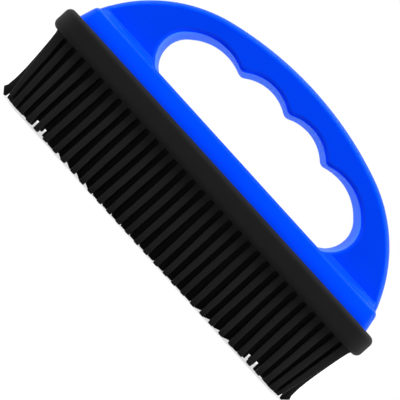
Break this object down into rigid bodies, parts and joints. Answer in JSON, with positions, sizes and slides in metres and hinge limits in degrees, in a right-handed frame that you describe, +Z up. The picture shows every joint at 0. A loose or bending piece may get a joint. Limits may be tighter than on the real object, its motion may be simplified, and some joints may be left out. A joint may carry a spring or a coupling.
{
  "type": "pet hair removal brush",
  "caption": "Hand brush for lifting pet hair: a D-shaped plastic loop handle with finger grooves, set in a rubber head whose moulded rubber bristles point down.",
  "frame": {"origin": "middle of the plane of the bristle tips, on which the brush stands", "axes": "+X along the head, +Y through the loop from the pictured face to the other, +Z up from the bristles to the handle"},
  "size_m": [0.18, 0.046, 0.0936],
  "materials": {
    "handle_plastic": "glossy moulded blue plastic",
    "head_rubber": "matte moulded black rubber",
    "bristle_rubber": "matte moulded black rubber"
  },
  "bodies": {
    "root": {"handle": "handle_plastic", "rubber_collar": "head_rubber", "bristle_field": "bristle_rubber"}
  },
  "joints": []
}
